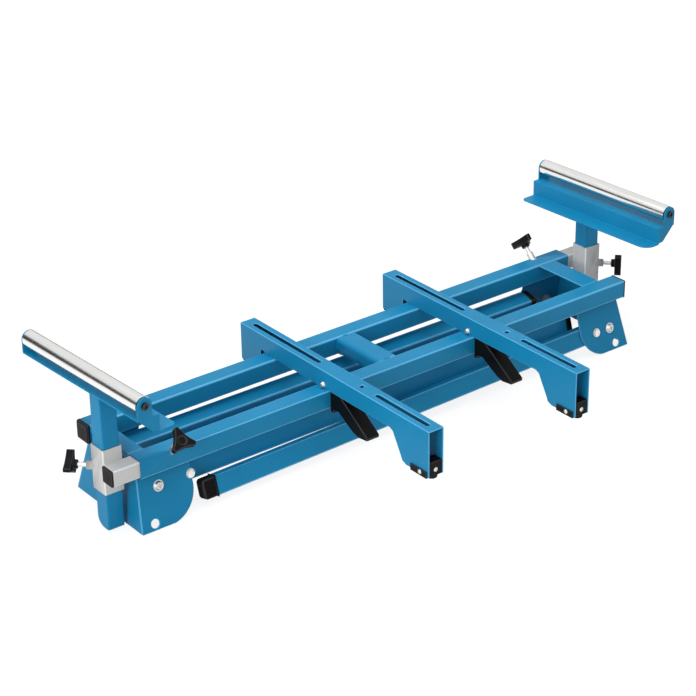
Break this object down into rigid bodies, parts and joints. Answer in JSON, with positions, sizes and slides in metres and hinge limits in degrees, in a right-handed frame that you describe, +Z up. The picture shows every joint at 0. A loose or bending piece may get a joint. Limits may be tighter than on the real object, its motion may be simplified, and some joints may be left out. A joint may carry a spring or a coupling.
{
  "type": "folding mitre saw stand",
  "caption": "Folding saw stand, legs folded under two square rails, with sliding roller supports at both ends and two clamp-on machine arms.",
  "frame": {"origin": "on the floor, under the middle of the folded stand's box", "axes": "+X along the rails to the end with the wide cross plate, +Y to the back of the stand, +Z up"},
  "size_m": [1.2976, 0.5426, 0.295],
  "materials": {
    "blue_powder_coat": "semi-gloss powder coat",
    "grey_paint": "satin",
    "zinc_steel": "zinc plated",
    "dark_steel": "blackened",
    "chrome": "bright",
    "black_plastic": "moulded",
    "black_rubber": "matt"
  },
  "bodies": {
    "frame": {"front_rail": "blue_powder_coat", "rear_rail": "blue_powder_coat", "left_bracket": "blue_powder_coat", "right_bracket": "blue_powder_coat", "left_cross_plate": "blue_powder_coat", "right_cross_plate": "blue_powder_coat", "carry_handle": "blue_powder_coat", "rail_plugs": "black_plastic", "rail_lock_nuts": "zinc_steel", "leg_pivot_bolts": "zinc_steel", "leg_spacers": "zinc_steel", "button_guides": "zinc_steel"},
    "left_extension": {"left_extension_tube": "grey_paint", "left_sleeve": "grey_paint", "left_tube_plug": "black_plastic"},
    "right_extension": {"right_extension_tube": "grey_paint", "right_sleeve": "grey_paint", "right_tube_plug": "black_plastic"},
    "left_post": {"left_post": "blue_powder_coat", "left_roller_bracket": "blue_powder_coat", "left_roller_axle": "dark_steel"},
    "right_post": {"right_post": "blue_powder_coat", "right_roller_bracket": "blue_powder_coat", "right_roller_axle": "dark_steel"},
    "left_roller": {"left_roller_tube": "chrome", "left_roller_caps": "black_plastic"},
    "right_roller": {"right_roller_tube": "chrome", "right_roller_caps": "black_plastic"},
    "left_rail_knob": {"left_rail_knob": "black_plastic", "left_rail_stud": "zinc_steel"},
    "right_rail_knob": {"right_rail_knob": "black_plastic", "right_rail_stud": "zinc_steel"},
    "left_post_knob": {"left_post_knob": "black_plastic", "left_post_stud": "zinc_steel"},
    "right_post_knob": {"right_post_knob": "black_plastic", "right_post_stud": "zinc_steel"},
    "front_left_leg": {"front_left_leg": "blue_powder_coat", "front_left_foot": "black_rubber"},
    "rear_left_leg": {"rear_left_leg": "blue_powder_coat", "rear_left_foot": "black_rubber"},
    "front_right_leg": {"front_right_leg": "blue_powder_coat", "front_right_foot": "black_rubber"},
    "rear_right_leg": {"rear_right_leg": "blue_powder_coat", "rear_right_foot": "black_rubber"},
    "front_left_button": {"front_left_button": "chrome"},
    "rear_left_button": {"rear_left_button": "chrome"},
    "front_right_button": {"front_right_button": "chrome"},
    "rear_right_button": {"rear_right_button": "chrome"},
    "left_arm": {"left_arm": "blue_powder_coat", "left_arm_shoe": "black_plastic", "left_arm_pads": "black_rubber", "left_arm_bolts": "zinc_steel"},
    "left_clamp_lever": {"left_clamp_lever": "black_plastic"},
    "right_arm": {"right_arm": "blue_powder_coat", "right_arm_shoe": "black_plastic", "right_arm_pads": "black_rubber", "right_arm_bolts": "zinc_steel"},
    "right_clamp_lever": {"right_clamp_lever": "black_plastic"}
  },
  "joints": [
    {"name": "left_extension_slide", "type": "slide", "parent": "frame", "child": "left_extension", "axis": [-1, 0, 0], "range_m": [0, 0.775]},
    {"name": "right_extension_slide", "type": "slide", "parent": "frame", "child": "right_extension", "axis": [1, 0, 0], "range_m": [0, 0.775]},
    {"name": "left_post_lift", "type": "slide", "parent": "left_extension", "child": "left_post", "axis": [0, 0, 1], "range_m": [0, 0.1]},
    {"name": "right_post_lift", "type": "slide", "parent": "right_extension", "child": "right_post", "axis": [0, 0, 1], "range_m": [0, 0.1]},
    {"name": "left_roller_spin", "type": "hinge", "parent": "left_post", "child": "left_roller", "pos_m": [-0.59, 0.08769, 0.28], "axis": [-0.0523, 0.9986, 0], "continuous": true},
    {"name": "right_roller_spin", "type": "hinge", "parent": "right_post", "child": "right_roller", "pos_m": [0.59, 0.10269, 0.28], "axis": [-0.0523, 0.9986, 0], "continuous": true},
    {"name": "left_rail_knob_turn", "type": "hinge", "parent": "frame", "child": "left_rail_knob", "pos_m": [-0.486, -0.00081, 0.135], "axis": [0, -0.7071, 0.7071], "range_deg": [0, 360]},
    {"name": "right_rail_knob_turn", "type": "hinge", "parent": "frame", "child": "right_rail_knob", "pos_m": [0.486, 0.1912, 0.135], "axis": [0, 0.7071, 0.7071], "range_deg": [0, 360]},
    {"name": "left_post_knob_turn", "type": "hinge", "parent": "left_extension", "child": "left_post_knob", "pos_m": [-0.5822, 0.05019, 0.1165], "axis": [-0.7071, 0.7071, 0], "range_deg": [0, 360]},
    {"name": "right_post_knob_turn", "type": "hinge", "parent": "right_extension", "child": "right_post_knob", "pos_m": [0.5822, 0.14019, 0.1165], "axis": [0.7071, -0.7071, 0], "range_deg": [0, 360]},
    {"name": "front_left_leg_fold", "type": "hinge", "parent": "frame", "child": "front_left_leg", "pos_m": [-0.5115, 0.05217, 0.05843], "axis": [0, 0.9603, -0.279], "range_deg": [0, 108]},
    {"name": "front_right_leg_fold", "type": "hinge", "parent": "frame", "child": "front_right_leg", "pos_m": [0.519, 0.01718, 0.03944], "axis": [0, -0.9603, 0.279], "range_deg": [0, 108.1]},
    {"name": "rear_left_leg_fold", "type": "hinge", "parent": "frame", "child": "rear_left_leg", "pos_m": [-0.5115, 0.16012, 0.06479], "axis": [0, 0.9603, 0.279], "range_deg": [0, 107.6]},
    {"name": "rear_right_leg_fold", "type": "hinge", "parent": "frame", "child": "rear_right_leg", "pos_m": [0.519, 0.14075, 0.03001], "axis": [0, -0.9603, -0.279], "range_deg": [0, 108.8]},
    {"name": "front_left_button_push", "type": "slide", "parent": "frame", "child": "front_left_button", "axis": [0, 0.9603, -0.279], "range_m": [0, 0.004], "stiffness_N_per_m": 500, "springref_m": -0.004},
    {"name": "front_right_button_push", "type": "slide", "parent": "frame", "child": "front_right_button", "axis": [0, 0.9603, -0.279], "range_m": [0, 0.004], "stiffness_N_per_m": 500, "springref_m": -0.004},
    {"name": "rear_left_button_push", "type": "slide", "parent": "frame", "child": "rear_left_button", "axis": [0, -0.9603, -0.279], "range_m": [0, 0.004], "stiffness_N_per_m": 500, "springref_m": -0.004},
    {"name": "rear_right_button_push", "type": "slide", "parent": "frame", "child": "rear_right_button", "axis": [0, -0.9603, -0.279], "range_m": [0, 0.004], "stiffness_N_per_m": 500, "springref_m": -0.004},
    {"name": "left_arm_slide", "type": "slide", "parent": "frame", "child": "left_arm", "axis": [1, 0, 0], "range_m": [-0.26, 0.0995]},
    {"name": "right_arm_slide", "type": "slide", "parent": "frame", "child": "right_arm", "axis": [1, 0, 0], "range_m": [-0.149, 0.24]},
    {"name": "left_clamp_lever_lift", "type": "hinge", "parent": "left_arm", "child": "left_clamp_lever", "pos_m": [-0.1467, 0.0152, 0.1412], "axis": [-1, 0, 0], "range_deg": [0, 32]},
    {"name": "right_clamp_lever_lift", "type": "hinge", "parent": "right_arm", "child": "right_clamp_lever", "pos_m": [0.1835, 0.0152, 0.1412], "axis": [-1, 0, 0], "range_deg": [0, 32]}
  ]
}
